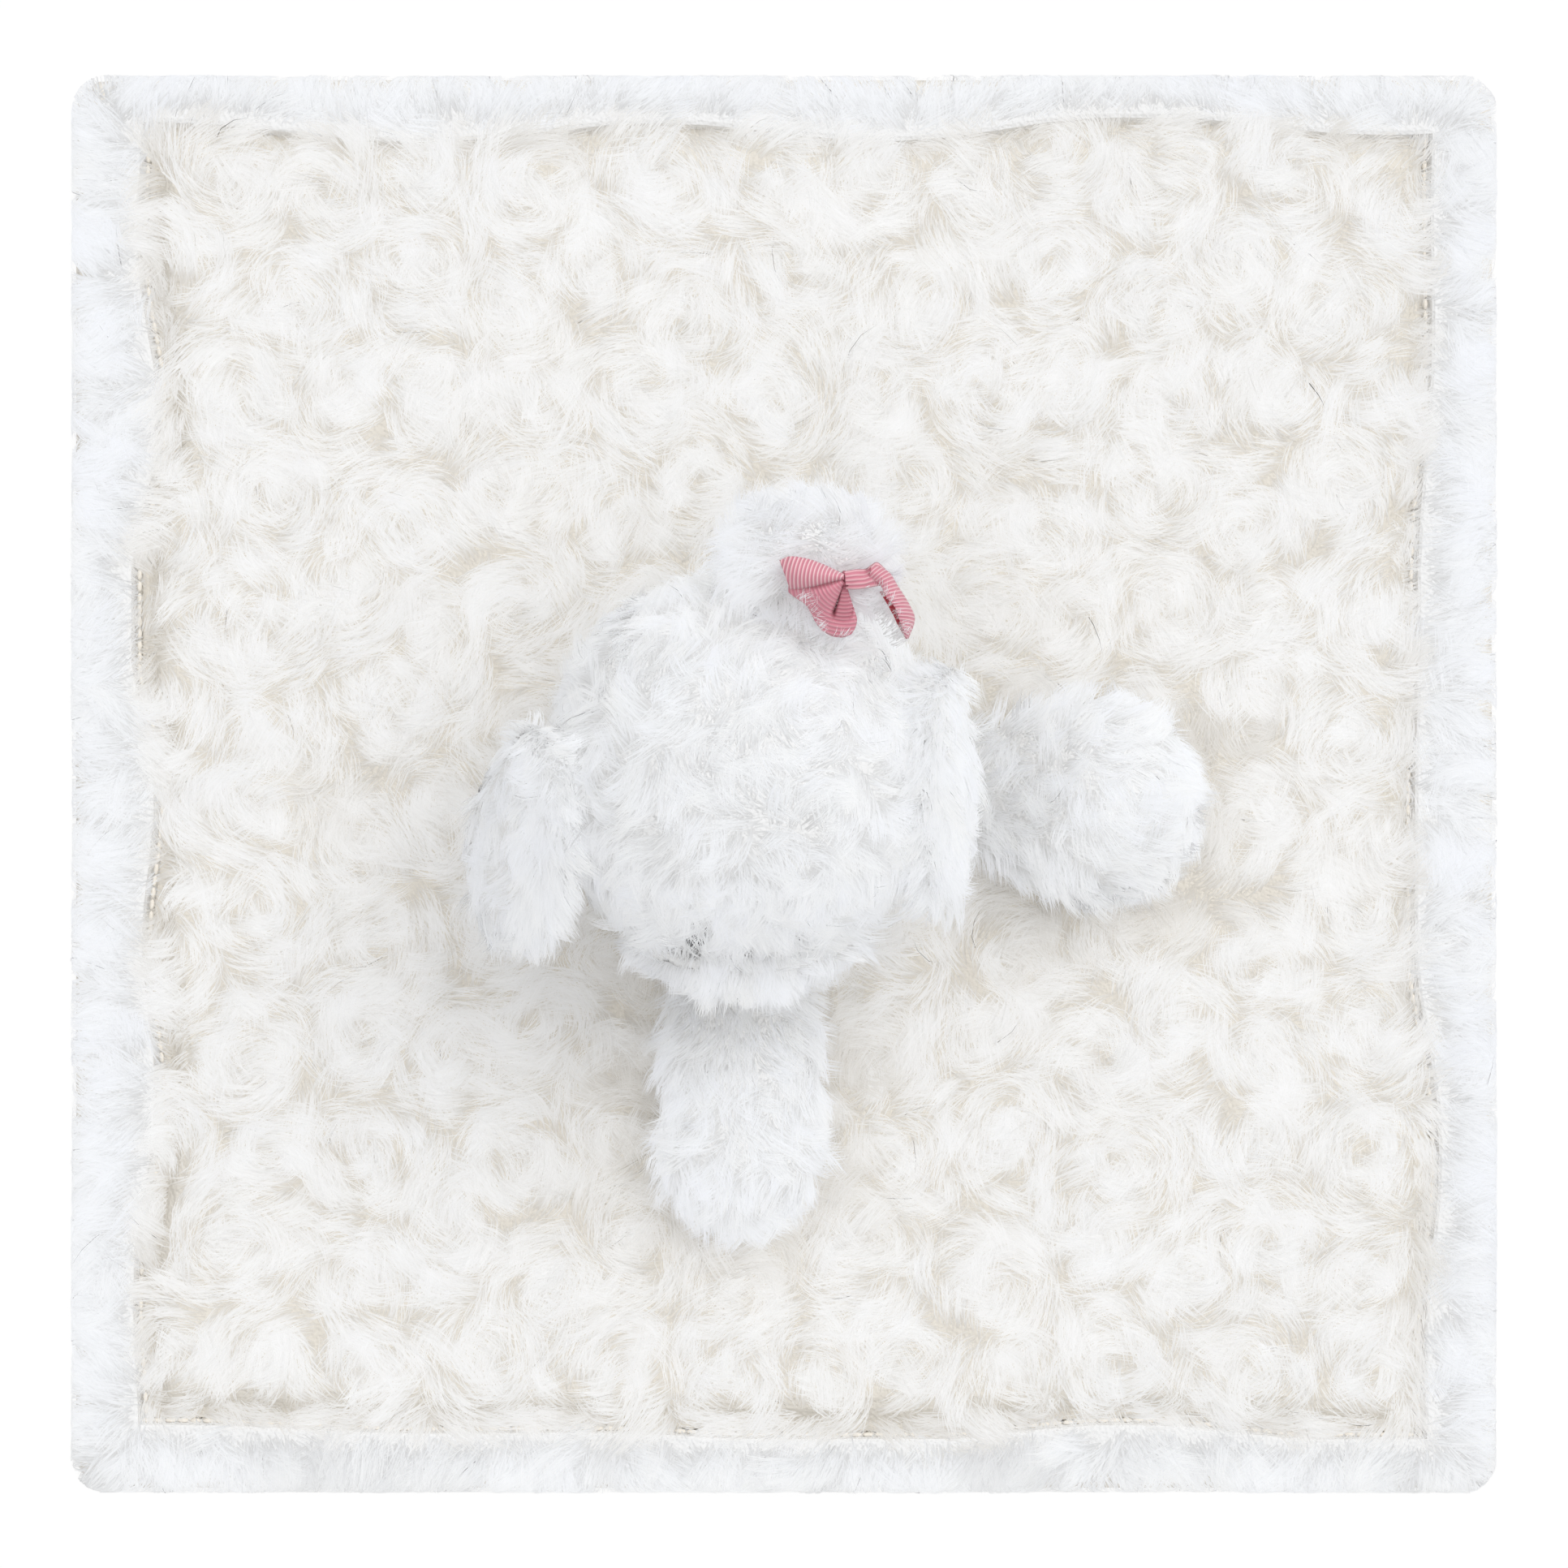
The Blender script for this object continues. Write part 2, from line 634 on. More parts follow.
def wandered(xy):
    """Cloth is never cut and sewn quite straight: what lies near the seam wanders with it."""
    low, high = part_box("topstitch")
    half = np.array([BACKING_HALF.x, BACKING_HALF.y])
    moved = xy.copy()
    for axis, other in ((0, 1), (1, 0)):
        for seam, seed in ((low[axis], 61), (high[axis], 62)):
            run = np.column_stack([xy[:, other], np.zeros(len(xy)), np.zeros(len(xy))])
            near = np.exp(-(((xy[:, axis] - seam) / SEAM_PULL_REACH) ** 2))
            held = np.clip((half[axis] - np.abs(xy[:, axis])) / 0.010, 0, 1)
            moved[:, axis] += SEAM_WANDER * near * held * waves(run, 0.075, seed + 2 * axis)
    return moved


def rosette_middles():
    """The middle of each rosette, the same as in the CAD: rows and columns a little out of true."""
    low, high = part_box("blanket_face")
    row, column = np.divmod(np.arange(ROSETTES_ALONG * ROSETTES_ACROSS), ROSETTES_ACROSS)
    x = column + 0.25 + 0.5 * (row % 2) + ROSETTE_WANDER * np.sin(5.3 * column + 2.9 * row)
    y = row + 0.5 + ROSETTE_WANDER * np.sin(3.1 * column + 7.7 * row)
    across, along = (high.x - low.x) / ROSETTES_ACROSS, (high.y - low.y) / ROSETTES_ALONG
    return np.column_stack([low.x + x * across, low.y + y * along])


def beside_seam(away, height):
    """The ground cloth's height this far from the seam: both cloths turn down to it in a soft valley."""
    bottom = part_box("topstitch")[0].z + SEAM_BOTTOM
    share = eased(np.clip(away / SEAM_VALLEY, 0, 1))
    return bottom + (np.maximum(height, bottom) - bottom) * share


def inside_face(xy):
    """How far each place lies inside the face's edge."""
    low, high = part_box("blanket_face")
    return np.minimum.reduce([xy[:, 0] - low.x, high.x - xy[:, 0], xy[:, 1] - low.y, high.y - xy[:, 1]])


def face_ground_height(xy, top):
    """The ground cloth's height under the pile. It follows the CAD's hollows, and its rosettes a little."""
    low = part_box("blanket_face")[0]
    away = np.linalg.norm(xy[:, None] - rosette_middles()[None], axis=2).min(axis=1)
    dip = ROSETTE_DEPTH * (1 - eased(np.clip(away / (ROSETTE / 2), 0, 1)))
    height = np.minimum(low.z + (top + DIP_SHARE * dip - low.z) * GROUND_SHARE, top - UNDER_CAD)
    return beside_seam(np.maximum(inside_face(xy), 0), height)


def make_face():
    low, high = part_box("blanket_face")
    bm = cad_copy("blanket_face")
    cut_across(bm)
    xy = np.array([vert.co.xy for vert in bm.verts])
    height = np.array([vert.co.z for vert in bm.verts])
    raised = height > low.z + FLAT
    height[raised] = face_ground_height(xy[raised], height[raised])
    reshaped(bm, wandered(xy), height)
    ground = add_piece(
        "face_ground", bm, IVORY_GROUND, "blanket", ["blanket_face"], smooth=False
    )

    grids = [
        jittered_grid((low.x, low.y), (high.x, high.y), spacing, seed)
        for spacing, seed in ((LOCK_SPACING, 5), (SEAM_FRINGE_SPACING, 6))
    ]
    xy = np.concatenate(grids)
    edge = inside_face(xy)
    keep = (edge > SEAM_BARE) & ((np.arange(len(xy)) < len(grids[0])) | (edge < SEAM_FRINGE))
    xy, edge = xy[keep], edge[keep]
    face = cad_tree("blanket_face")
    top = np.array([seen_at(face, x, y)[0].z for x, y in xy])
    places = np.column_stack([xy, face_ground_height(xy, top)])
    upright = np.tile(UP, (len(xy), 1))

    middles = rosette_middles()
    centres = np.column_stack([middles, np.full(len(middles), low.z)])
    rng = np.random.default_rng(11)
    ways, spin = swirl(places, upright, centres, rng.choice([-1.0, 1.0], len(centres)), ROSETTE)
    outwards = xy - np.clip(xy, np.array(low.xy) + SEAM_COVER, np.array(high.xy) - SEAM_COVER)
    near_seam = np.clip(np.linalg.norm(outwards, axis=1) / SEAM_COVER, 0, 1)[:, None]
    over = unit(np.column_stack([outwards, np.zeros(len(xy))]))
    firm = near_seam * (SEAM_FIRM + SEAM_FIRM_SPREAD * waves(places, 0.02, 8)[:, None])
    ways = unit(ways * (1 - firm) + over * firm)
    places[:, :2] = wandered(places[:, :2])
    hollow = np.clip((high.z - HOLLOW_FROM - top) / HOLLOW_REACH, 0, 1)
    toy = cad_tree("head_cover", "muzzle_cover", "right_paw_cover", "front_paw_cover", "left_ear_plush")
    gaps = np.array([toy.find_nearest(Vector(place))[3] for place in places])
    tone = FACE_TONE - HOLLOW_SHADE * hollow + 0.14 * waves(places, 0.05, 9) + rng.normal(0, 0.05, len(xy))
    tone -= TOY_SHADE * np.exp(-np.maximum(gaps - UNDER_TOY, 0) / BESIDE_TOY)
    scale = np.clip(SHORT_AT_SEAM + edge / LONG_FROM, SHORTEST, 1.0) * (1 + 0.12 * waves(places, 0.03, 7))
    scale *= 1 + 0.22 * near_seam[:, 0] * waves(places, 0.017, 10)
    lift = -SEAM_LIFT * near_seam[:, 0]
    locks = new_locks(places, upright, ways, spin=-spin, tone=tone, scale=scale, droop=lift)
    add_piles("rosette_pile", locks, FACE_PILE, IVORY_PILE, "blanket", 20)


make_face()

# ---------------------------------------------------------------- the blanket's border
# The same plush in a cooler white, mitred round the face and combed outwards over the rim.
# Fibres that would pass the rim are trimmed level with it.
BORDER_PILE = dict(FACE_PILE, length=0.0118, lean=(60, 88), untidy=24, curl=30, gather=0.56)
BORDER_GRIDS = ((0.92, 31), (0.80, 32))
BORDER_FIELD_SHARE = 0.42
BORDER_TONE, FRONT_BORDER_TONE = 0.82, 0.48
BORDER_INSET = 0.0045
BORDER_GROUND_SHARE = 0.55
RIM_LOW = 0.0012
RIM_DROOP = 40
RIM_BAND = 0.007
RIM_PULL = 0.020
RIM_PULL_REACH = 0.012
TRIM = 0.93


def rim_distance(xy, half, corner):
    """How far each place is outside a rounded rectangle, and the way out."""
    over = np.abs(xy) - (half - corner)
    out = np.maximum(over, 0)
    reach = np.linalg.norm(out, axis=-1)
    straight = np.stack([over[..., 0] >= over[..., 1], over[..., 0] < over[..., 1]], axis=-1)
    way = np.where(reach[..., None] > 1e-9, out / np.maximum(reach, 1e-9)[..., None], straight)
    return reach + np.minimum(over.max(axis=-1), 0) - corner, way * np.sign(xy)


def past_face(xy):
    """How far each place lies outside the face."""
    low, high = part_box("blanket_face")
    return np.linalg.norm(xy - np.clip(xy, low.xy, high.xy), axis=1)


def make_border():
    low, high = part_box("blanket_border")
    face_low, face_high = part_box("blanket_face")
    half = np.array([high.x, high.y])
    bm = cad_copy("blanket_border")
    cut_across(bm)
    points = np.array([vert.co for vert in bm.verts])
    xy = points[:, :2]
    inward = BORDER_INSET * np.clip((RIM_PULL - (half - np.abs(xy))) / RIM_PULL_REACH, 0, 1)
    height = low.z + (points[:, 2] - low.z) * BORDER_GROUND_SHARE
    height = np.where(points[:, 2] > low.z + FLAT, beside_seam(past_face(xy), height), height)
    reshaped(bm, wandered(xy - np.sign(xy) * inward), height)
    ground = add_piece(
        "border_ground", bm, COOL_GROUND, "blanket", ["blanket_border"], smooth=False
    )

    grids = [jittered_grid(-half, half, LOCK_SPACING * share, seed) for share, seed in BORDER_GRIDS]
    xy = np.concatenate(grids)
    outside, out_way = rim_distance(xy, half, OUTLINE_ROUND)
    bare = 2 * SEAM_BARE
    beside = ((xy < np.array(face_low.xy) - bare) | (xy > np.array(face_high.xy) + bare)).any(axis=1)
    at_rim = outside > -BORDER_INSET - RIM_BAND
    keep = beside & (outside < -BORDER_INSET) & (at_rim | (np.arange(len(xy)) < len(xy) * BORDER_FIELD_SHARE))
    xy, outside, out_way = xy[keep], outside[keep], out_way[keep]
    height = np.full(len(xy), low.z + (high.z - low.z) * BORDER_GROUND_SHARE)
    places = np.column_stack([wandered(xy), beside_seam(past_face(xy), height)])
    upright = np.tile(UP, (len(xy), 1))
    ways = np.column_stack([out_way, np.zeros(len(xy))])
    ways = turned(ways, upright, 0.55 * waves(places, 0.030, 33) + 0.35 * waves(places, 0.011, 34))
    near_rim = np.clip(1 + (outside + BORDER_INSET) / RIM_BAND, 0, 1)
    near_seam = np.clip(1 - past_face(xy) / SEAM_VALLEY, 0, 1)
    tone = np.where(xy[:, 1] < face_low.y, FRONT_BORDER_TONE, BORDER_TONE) + 0.2 * waves(places, 0.02, 36)
    droop = near_rim * RIM_DROOP - near_seam * SEAM_LIFT
    spin = np.sign(waves(places, 0.02, 35))
    locks = new_locks(places, upright, ways, droop=droop, spin=spin, tone=tone)

    def trimmed(lines, outward, own):
        distance, way = rim_distance(lines[..., :2], half, OUTLINE_ROUND)
        lines[..., :2] -= way * (np.maximum(distance, 0) * TRIM)[..., None]
        lines[..., 2] = np.maximum(lines[..., 2], RIM_LOW)
        return lines, outward, own

    add_piles("border_pile", locks, BORDER_PILE, COOL_PILE, "blanket", 41, trimmed)


make_border()

# ---------------------------------------------------------------- the stitches
# Thread along the seam between face and border, and round the neck where it is sewn down.
# Each stitch shows as a short length of thread that dips into the cloth at both ends.
STITCH_LENGTH = 0.0027
STITCH_PITCH = 0.0029
STITCH_RADIUS = 0.00060
STITCH_RISE = 0.0014
NECK_STITCHES = 36
NECK_STITCH_LENGTH = 0.0030
NECK_STITCH_SLANT = math.radians(55)
THREAD = dict(size=0.0006, relief=0.0002, Roughness=0.7)
SEAM_THREAD = mottled("seam_thread", (0.86, 0.82, 0.75), (0.78, 0.73, 0.65), **THREAD)


def stitches(name, path, node, length, slant=0.0):
    """Short threads laid end to end along the path's points, each an even step apart."""
    bm = bmesh.new()
    bmesh.ops.create_uvsphere(bm, u_segments=8, v_segments=6, radius=STITCH_RADIUS)
    one = bpy.data.meshes.new("stitch")
    bm.to_mesh(one)
    bm.clear()
    stretch = Matrix.Diagonal((1, 1, length / 2 / STITCH_RADIUS, 1))
    for here, after in zip(path, np.roll(path, -1, axis=0)):
        way = Vector(after - here).normalized()
        way.rotate(Matrix.Rotation(slant, 3, "Z"))
        place = Matrix.Translation(here) @ way.to_track_quat("Z", "X").to_matrix().to_4x4() @ stretch
        one.transform(place)
        bm.from_mesh(one)
        one.transform(place.inverted())
    bpy.data.meshes.remove(one)
    add_piece(name, bm, SEAM_THREAD, "blanket", [node])


def make_topstitch():
    low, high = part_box("topstitch")
    left, front = low.x + STITCH_RADIUS, low.y + STITCH_RADIUS
    right, back = high.x - STITCH_RADIUS, high.y - STITCH_RADIUS
    corners = np.array([(left, front), (right, front), (right, back), (left, back)])
    path = []
    for start, end in zip(corners, np.roll(corners, -1, axis=0)):
        count = round(np.linalg.norm(end - start) / STITCH_PITCH)
        path.append(start + (end - start) * (np.arange(count) / count)[:, None])
    path = wandered(np.concatenate(path))
    path = np.column_stack([path, np.full(len(path), high.z + STITCH_RISE)])
    stitches("topstitch_thread", path, "topstitch", STITCH_LENGTH)


def make_neck_stitches():
    low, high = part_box("neck_stitches")
    middle = (low + high) / 2
    radius = (high.x - low.x) / 2 - STITCH_RADIUS
    angles = np.arange(NECK_STITCHES) * (2 * np.pi / NECK_STITCHES)
    xy = np.array(middle.xy) + radius * np.column_stack([np.cos(angles), np.sin(angles)])
    path = np.column_stack([xy, np.full(NECK_STITCHES, middle.z)])
    stitches("neck_sewing", path, "neck_stitches", NECK_STITCH_LENGTH, NECK_STITCH_SLANT)


make_topstitch()
make_neck_stitches()

# ---------------------------------------------------------------- the neck and the limbs' roots
# A gathered tube of the toy's plush joins the head to the blanket, its gathers running upwards.
# Each paw grows out of a flat tab of the same plush, sewn down beside the neck.
GATHERS = 22
GATHER_DEPTH = 0.0009
TAB_ROUND = 0.0016


def make_neck():
    low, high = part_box("neck_gather")
    middle = (low + high) / 2
    bm = cad_copy("neck_gather")
    bmesh.ops.subdivide_edges(bm, edges=bm.edges[:], cuts=3, use_grid_fill=True)
    for vert in bm.verts:
        out = vert.co.xy - middle.xy
        inward = GATHER_DEPTH * (0.5 + 0.5 * math.sin(math.atan2(out.y, out.x) * GATHERS))
        if out.length > GATHER_DEPTH:
            vert.co.xy -= out.normalized() * inward
    add_piece("neck_cloth", bm, COOL_GROUND, "neck", ["neck_gather"])


def make_tab(node):
    bm = cad_copy(node)
    bmesh.ops.dissolve_limit(bm, angle_limit=0.02, verts=bm.verts, edges=bm.edges)
    bmesh.ops.bevel(
        bm, geom=bm.edges[:], offset=TAB_ROUND, segments=3, affect="EDGES", profile=0.5, material=-1
    )
    add_piece(node + "_tab", bm, COOL_GROUND, "blanket", [node])


make_neck()
make_tab("right_paw_root")
make_tab("front_paw_root")

# ---------------------------------------------------------------- the bow
# Grosgrain ribbon: a loop and a tail on the left of the pinch, a short band and a curl on the
# right. A few turns of thread hold the pinch. Ribs of paler yarn cross the ribbon.
RIBBON_PINK = (0.62, 0.205, 0.27)
RIB_PALE = (0.88, 0.60, 0.63)
RIBBON_CREASE = (0.22, 0.035, 0.055)
RIBBON_INSIDE = (0.42, 0.03, 0.05)
RIB_PITCH_MM = 0.88
RIBBON_THICKNESS = 0.00035
RIBBON_FEEL = 0.002
BOW_LIFT = 0.0016
BOW_SINK = 0.0020
BOW_DROOP = 0.020
BOW_SPAN = 0.030
MM = 0.001
# A ribbon's two edges, in millimetres from the pinch, the third value above the plush.
LOOP_RAILS = (
    [(-0.2, 0.2, 1.2), (-3.2, -0.5, 2.6), (-7.0, -1.5, 2.6), (-10.2, -2.0, 1.6), (-12.6, -2.0, 0.0)],
    [(-0.2, 1.2, 0.6), (-5.4, 3.6, 1.6), (-9.0, 4.8, 2.0), (-12.6, 5.3, 1.6), (-15.0, 4.5, 0.2)],
)
BAND_RAILS = (
    [(0.3, -2.0, 0.8), (2.5, -2.1, 1.4), (5.0, -1.8, 1.0), (7.0, -1.4, 0.6), (9.0, -1.0, 0.2)],
    [(0.0, 1.9, 0.8), (2.5, 2.4, 1.4), (5.0, 2.6, 1.2), (7.3, 4.1, 1.6), (9.4, 2.6, 1.0)],
)
CURL_RAILS = (
    [(5.6, 0.6, 1.6), (8.2, -0.8, 1.8), (9.6, -3.7, 2.2), (11.7, -6.2, 2.6), (12.8, -9.2, 2.6),
     (14.4, -13.2, 0.8)],
    [(6.4, 3.6, 2.6), (10.1, 1.9, 1.6), (12.4, -1.5, 1.2), (15.1, -5.7, 1.0), (16.3, -9.0, 0.8),
     (14.9, -13.3, 0.2)],
)
INSIDE_RAILS = (
    [(8.2, -2.6, 0.2), (9.9, -5.4, 0.4), (11.4, -8.0, 0.4), (12.6, -10.4, 0.3), (14.5, -13.4, 0.2)],
    [(10.0, -2.4, 1.2), (12.0, -5.0, 1.0), (13.6, -8.0, 0.8), (14.6, -10.6, 0.4), (14.9, -13.2, 0.2)],
)
# The left tail's cut edge: its distance from the pinch at each angle, in degrees and millimetres.
TAIL_ANGLES = (184, 192, 200, 208, 216, 226, 236, 246, 258, 268, 277, 284, 288)
TAIL_REACH = (12.9, 13.2, 11.9, 10.8, 10.4, 10.8, 11.7, 12.6, 13.1, 13.1, 12.5, 10.9, 9.2)
TAIL_FOLD_ANGLE = 250.6
TIE_TURNS = (-0.55, -0.1, 0.35)

BOW_LOW, BOW_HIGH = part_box("bow_tie")
PINCH = (BOW_LOW + BOW_HIGH) / 2
CROWN = cad_tree("head_cover", "topknot_cover")


def ribbon_paint(name, paleness, colour=RIBBON_PINK):
    """Grosgrain from its own UV map: ribs along U, one a unit, with a dotted edge along V."""
    paint = Paint(name, Roughness=0.42, Sheen_Weight=0.15)
    along, across = paint.from_map("ribs")
    wave = (along * (2 * math.pi)).math("SINE") * 0.5 + 0.5
    rib = wave.math("POWER", 2.2)
    edge = ((across - 0.5).math("ABSOLUTE") * 2.0).math("POWER", 14.0)
    pale = paint.mix((rib * (edge * 0.5 + 1.0)) * paleness, colour, RIB_PALE)
    fold = paint.node("Attribute", {"attribute_name": "fold"}, {}, 2)
    return paint.surface(paint.mix(fold, pale, RIBBON_CREASE), wave, 0.00018)


def through(points, count):
    """A smooth line through the points, sampled evenly by share of its length."""
    points = np.array(points, dtype=float)
    ends = np.concatenate([[2 * points[0] - points[1]], points, [2 * points[-1] - points[-2]]])
    fine = []
    for a, b, c, d in zip(ends, ends[1:], ends[2:], ends[3:]):
        t = np.linspace(0, 1, 16, endpoint=False)[:, None]
        square, cube = (2 * a - 5 * b + 4 * c - d) * t**2, (3 * b - a - 3 * c + d) * t**3
        fine.append(0.5 * (2 * b + (c - a) * t + square + cube))
    fine = np.concatenate([*fine, points[-1:]])
    run = np.concatenate([[0], np.cumsum(np.linalg.norm(np.diff(fine, axis=0), axis=1))])
    at = np.linspace(0, run[-1], count)
    return np.column_stack([np.interp(at, run, fine[:, axis]) for axis in range(points.shape[1])])


def crown_height(x, y):
    """The height that ribbon lies at here: it droops away from the pinch, but not into the plush."""
    away = math.hypot(x - PINCH.x, y - PINCH.y)
    height = PINCH.z - BOW_SINK - BOW_DROOP * (away / BOW_SPAN) ** 2
    for dx, dy in ((0, 0), (1, 0), (-1, 0), (0, 1), (0, -1)):
        hit = seen_at(CROWN, x + dx * RIBBON_FEEL, y + dy * RIBBON_FEEL)[0]
        height = max(height, hit.z if hit else 0)
    return height


def ribbon(name, points, rib, fold, material, node=None):
    """A grid of points as ribbon, in millimetres from the pinch, the third above the plush."""
    rows, columns = points.shape[:2]
    bm = bmesh.new()
    folds = bm.verts.layers.float.new("fold")
    ribs = bm.loops.layers.uv.new("ribs")
    verts = []
    for row in range(rows):
        for column in range(columns):
            x, y, rise = points[row, column] * MM
            x, y = PINCH.x + x, PINCH.y + y
            vert = bm.verts.new((x, y, crown_height(x, y) + BOW_LIFT + rise))
            vert[folds] = fold[row, column]
            verts.append(vert)
    for row in range(rows - 1):
        for column in range(columns - 1):
            corners = [(row, column), (row + 1, column), (row + 1, column + 1), (row, column + 1)]
            face = bm.faces.new([verts[r * columns + c] for r, c in corners])
            for loop, (r, c) in zip(face.loops, corners):
                loop[ribs].uv = (rib[r, c], c / (columns - 1))
    bmesh.ops.recalc_face_normals(bm, faces=bm.faces)
    if sum(face.normal.z for face in bm.faces) < 0:
        bmesh.ops.reverse_faces(bm, faces=bm.faces)
    piece = add_piece(name, bm, material, "head", [node] if node else [])
    thick = piece.modifiers.new("thickness", "SOLIDIFY")
    thick.thickness = RIBBON_THICKNESS
    thick.offset = 0.0


def strip(rails, rows, columns, bulge):
    """Points from one rail to the other, raised in the middle by this much."""
    first, second = (through(rail, rows)[:, None] for rail in rails)
    share = np.linspace(0, 1, columns)[None, :, None]
    points = first * (1 - share) + second * share
    points[..., 2] += bulge * np.sin(np.pi * share[..., 0])
    return points


def from_pinch(points):
    return np.hypot(points[..., 0], points[..., 1]) / RIB_PITCH_MM


def make_left_tail():
    """A fan of ribbon with one deep fold down from the pinch."""
    angles = np.radians(np.linspace(TAIL_ANGLES[0], TAIL_ANGLES[-1], 64))
    turn = np.degrees(angles)[:, None]
    share = np.linspace(0.05, 1, 32)[None]
    radius = np.interp(turn, TAIL_ANGLES, TAIL_REACH) * share
    valley = np.exp(-(((turn - TAIL_FOLD_ANGLE) / 3.2) ** 2)) * np.clip((0.72 - share) / 0.12, 0, 1)
    right = np.clip((turn - TAIL_FOLD_ANGLE) / 3, 0, 1) * np.clip((0.80 - share) / 0.10, 0, 1)
    hump = 2.4 * np.sin(np.pi * np.clip((turn - TAIL_ANGLES[0]) / 70, 0, 1)) * np.sin(np.pi * share * 0.9)
    rise = 1.0 * (1 - share) + hump - 2.2 * valley - 0.9 * right - 1.2 * share**3
    tail = np.stack([radius * np.cos(angles)[:, None], radius * np.sin(angles)[:, None], rise], axis=-1)
    fold = np.clip(1.1 * valley + 0.28 * right, 0, 1)
    paint = ribbon_paint("ribbon_tail", 0.30)
    ribbon("bow_left_tail_ribbon", tail, from_pinch(tail), fold, paint, "bow_left_tail")


def make_bow():
    loop = strip(LOOP_RAILS, 60, 20, 1.5)
    dark = 0.85 * np.exp(-np.linspace(0, 1, 20) / 0.10)[None] * np.linspace(1, 0.3, 60)[:, None]
    paint = ribbon_paint("ribbon_loop", 0.95)
    ribbon("bow_left_loop_ribbon", loop, from_pinch(loop), dark, paint, "bow_left_loop")
    make_left_tail()

    band = strip(BAND_RAILS, 48, 18, 0.9)
    across = np.repeat(np.linspace(0, 4.6, 18)[None], 48, axis=0)
    notch = np.exp(-(((np.linspace(0, 1, 48) - 0.50) / 0.05) ** 2))[:, None] * np.linspace(0, 1, 18) ** 6
    paint = ribbon_paint("ribbon_band", 0.60)
    ribbon("bow_right_loop_ribbon", band, across, notch * 0.9, paint, "bow_right_loop")

    curl = strip(CURL_RAILS, 70, 18, 1.3)
    run = np.linspace(0, 19.0, 70)[:, None] / RIB_PITCH_MM - np.linspace(0, 2.2, 18)[None]
    paint = ribbon_paint("ribbon_curl", 0.72)
    ribbon("bow_right_tail_ribbon", curl, run, np.zeros((70, 18)), paint, "bow_right_tail")
    inside = strip(INSIDE_RAILS, 40, 10, -0.3)
    run = np.linspace(0, 12.5, 40)[:, None] / RIB_PITCH_MM + np.zeros((40, 10))
    paint = ribbon_paint("ribbon_inside", 0.10, RIBBON_INSIDE)
    ribbon("bow_right_inside", inside, run, np.zeros((40, 10)), paint)

    bm = bmesh.new()
    size = (BOW_HIGH - BOW_LOW) / 2
    ball = bmesh.ops.create_uvsphere(bm, u_segments=20, v_segments=14, radius=1.0)
    squeeze = Matrix.Diagonal((size.x * 0.75, size.y * 0.80, size.z * 0.9, 1))
    bmesh.ops.transform(bm, matrix=Matrix.Translation(PINCH) @ squeeze, verts=ball["verts"])
    knot = mottled("pinched_ribbon", RIBBON_PINK, RIBBON_CREASE, 0.0007, 3.0, 0.0003, Roughness=0.5)
    add_piece("bow_pinch", bm, knot, "head")
    bm = bmesh.new()
    for turn_at in TIE_TURNS:
        ring = ring_tube(bm, 0.92, 0.10, 28, 6)
        slant = Matrix.Rotation(math.radians(14), 4, "Z") @ Matrix.Rotation(math.radians(90), 4, "X")
        place = Matrix.Translation(PINCH + Vector((0, turn_at * size.y, 0)))
        scale = Matrix.Diagonal((size.x * 1.02, size.x * 1.02, size.z * 1.02, 1))
        bmesh.ops.transform(bm, matrix=place @ scale @ slant, verts=ring)
    thread = mottled("bow_thread", (0.20, 0.04, 0.06), (0.10, 0.02, 0.03), **THREAD)
    add_piece("bow_tie_thread", bm, thread, "head", ["bow_tie"])


def ring_tube(bm, radius, tube, sides, tube_sides):
    """A ring round the Z axis, as a full spin of a small circle."""
    circle = bmesh.ops.create_circle(bm, segments=tube_sides, radius=tube, cap_ends=False)["verts"]
    bmesh.ops.rotate(bm, verts=circle, cent=(0, 0, 0), matrix=Matrix.Rotation(math.radians(90), 3, "X"))
    bmesh.ops.translate(bm, verts=circle, vec=(radius, 0, 0))
    edges = list({edge for vert in circle for edge in vert.link_edges})
    before = set(bm.verts) - set(circle)
    bmesh.ops.spin(
        bm, geom=circle + edges, axis=(0, 0, 1), cent=(0, 0, 0), steps=sides, angle=2 * math.pi,
        use_merge=True,
    )
    return [vert for vert in bm.verts if vert not in before]


make_bow()

# ---------------------------------------------------------------- the toy's stuffed forms
# Plush covers filled with wadding: head, muzzle, topknot, two paws and two flat ears.
# Each form's ground cloth lies under the CAD surface, and the pile on it reaches up to it.
TOY_PILE = dict(
    length=0.0105, lean=(54, 84), fibres=22, spread=0.0027, width=0.00030, gather=0.58, curl=58,
    untidy=30, up=0.44,
)
MUZZLE_PILE = dict(TOY_PILE, length=0.0095, lean=(54, 88), curl=30, up=0.78)
TOPKNOT_PILE = dict(TOY_PILE, length=0.0110, lean=(34, 72), gather=0.40, curl=36, untidy=40, up=0.82)
BROW_PILE = dict(TOY_PILE, length=0.0118, lean=(44, 96), gather=0.62, untidy=34)
NOSE_FRINGE_PILE = dict(TOY_PILE, length=0.0084, lean=(32, 62), untidy=16, curl=26, up=0.78)
TAB_PILE = dict(TOY_PILE, length=0.0085, lean=(50, 84), untidy=26, up=0.60)
EAR_PILE = dict(TOY_PILE, lean=(58, 92), up=0.50)
EAR_ROOT_PILE = dict(TOY_PILE, length=0.0100, lean=(24, 66), untidy=22, curl=24, up=0.50)
PAW_PILE = dict(TOY_PILE, up=0.60)
FRONT_PAW_PILE = dict(TOY_PILE, up=0.80)
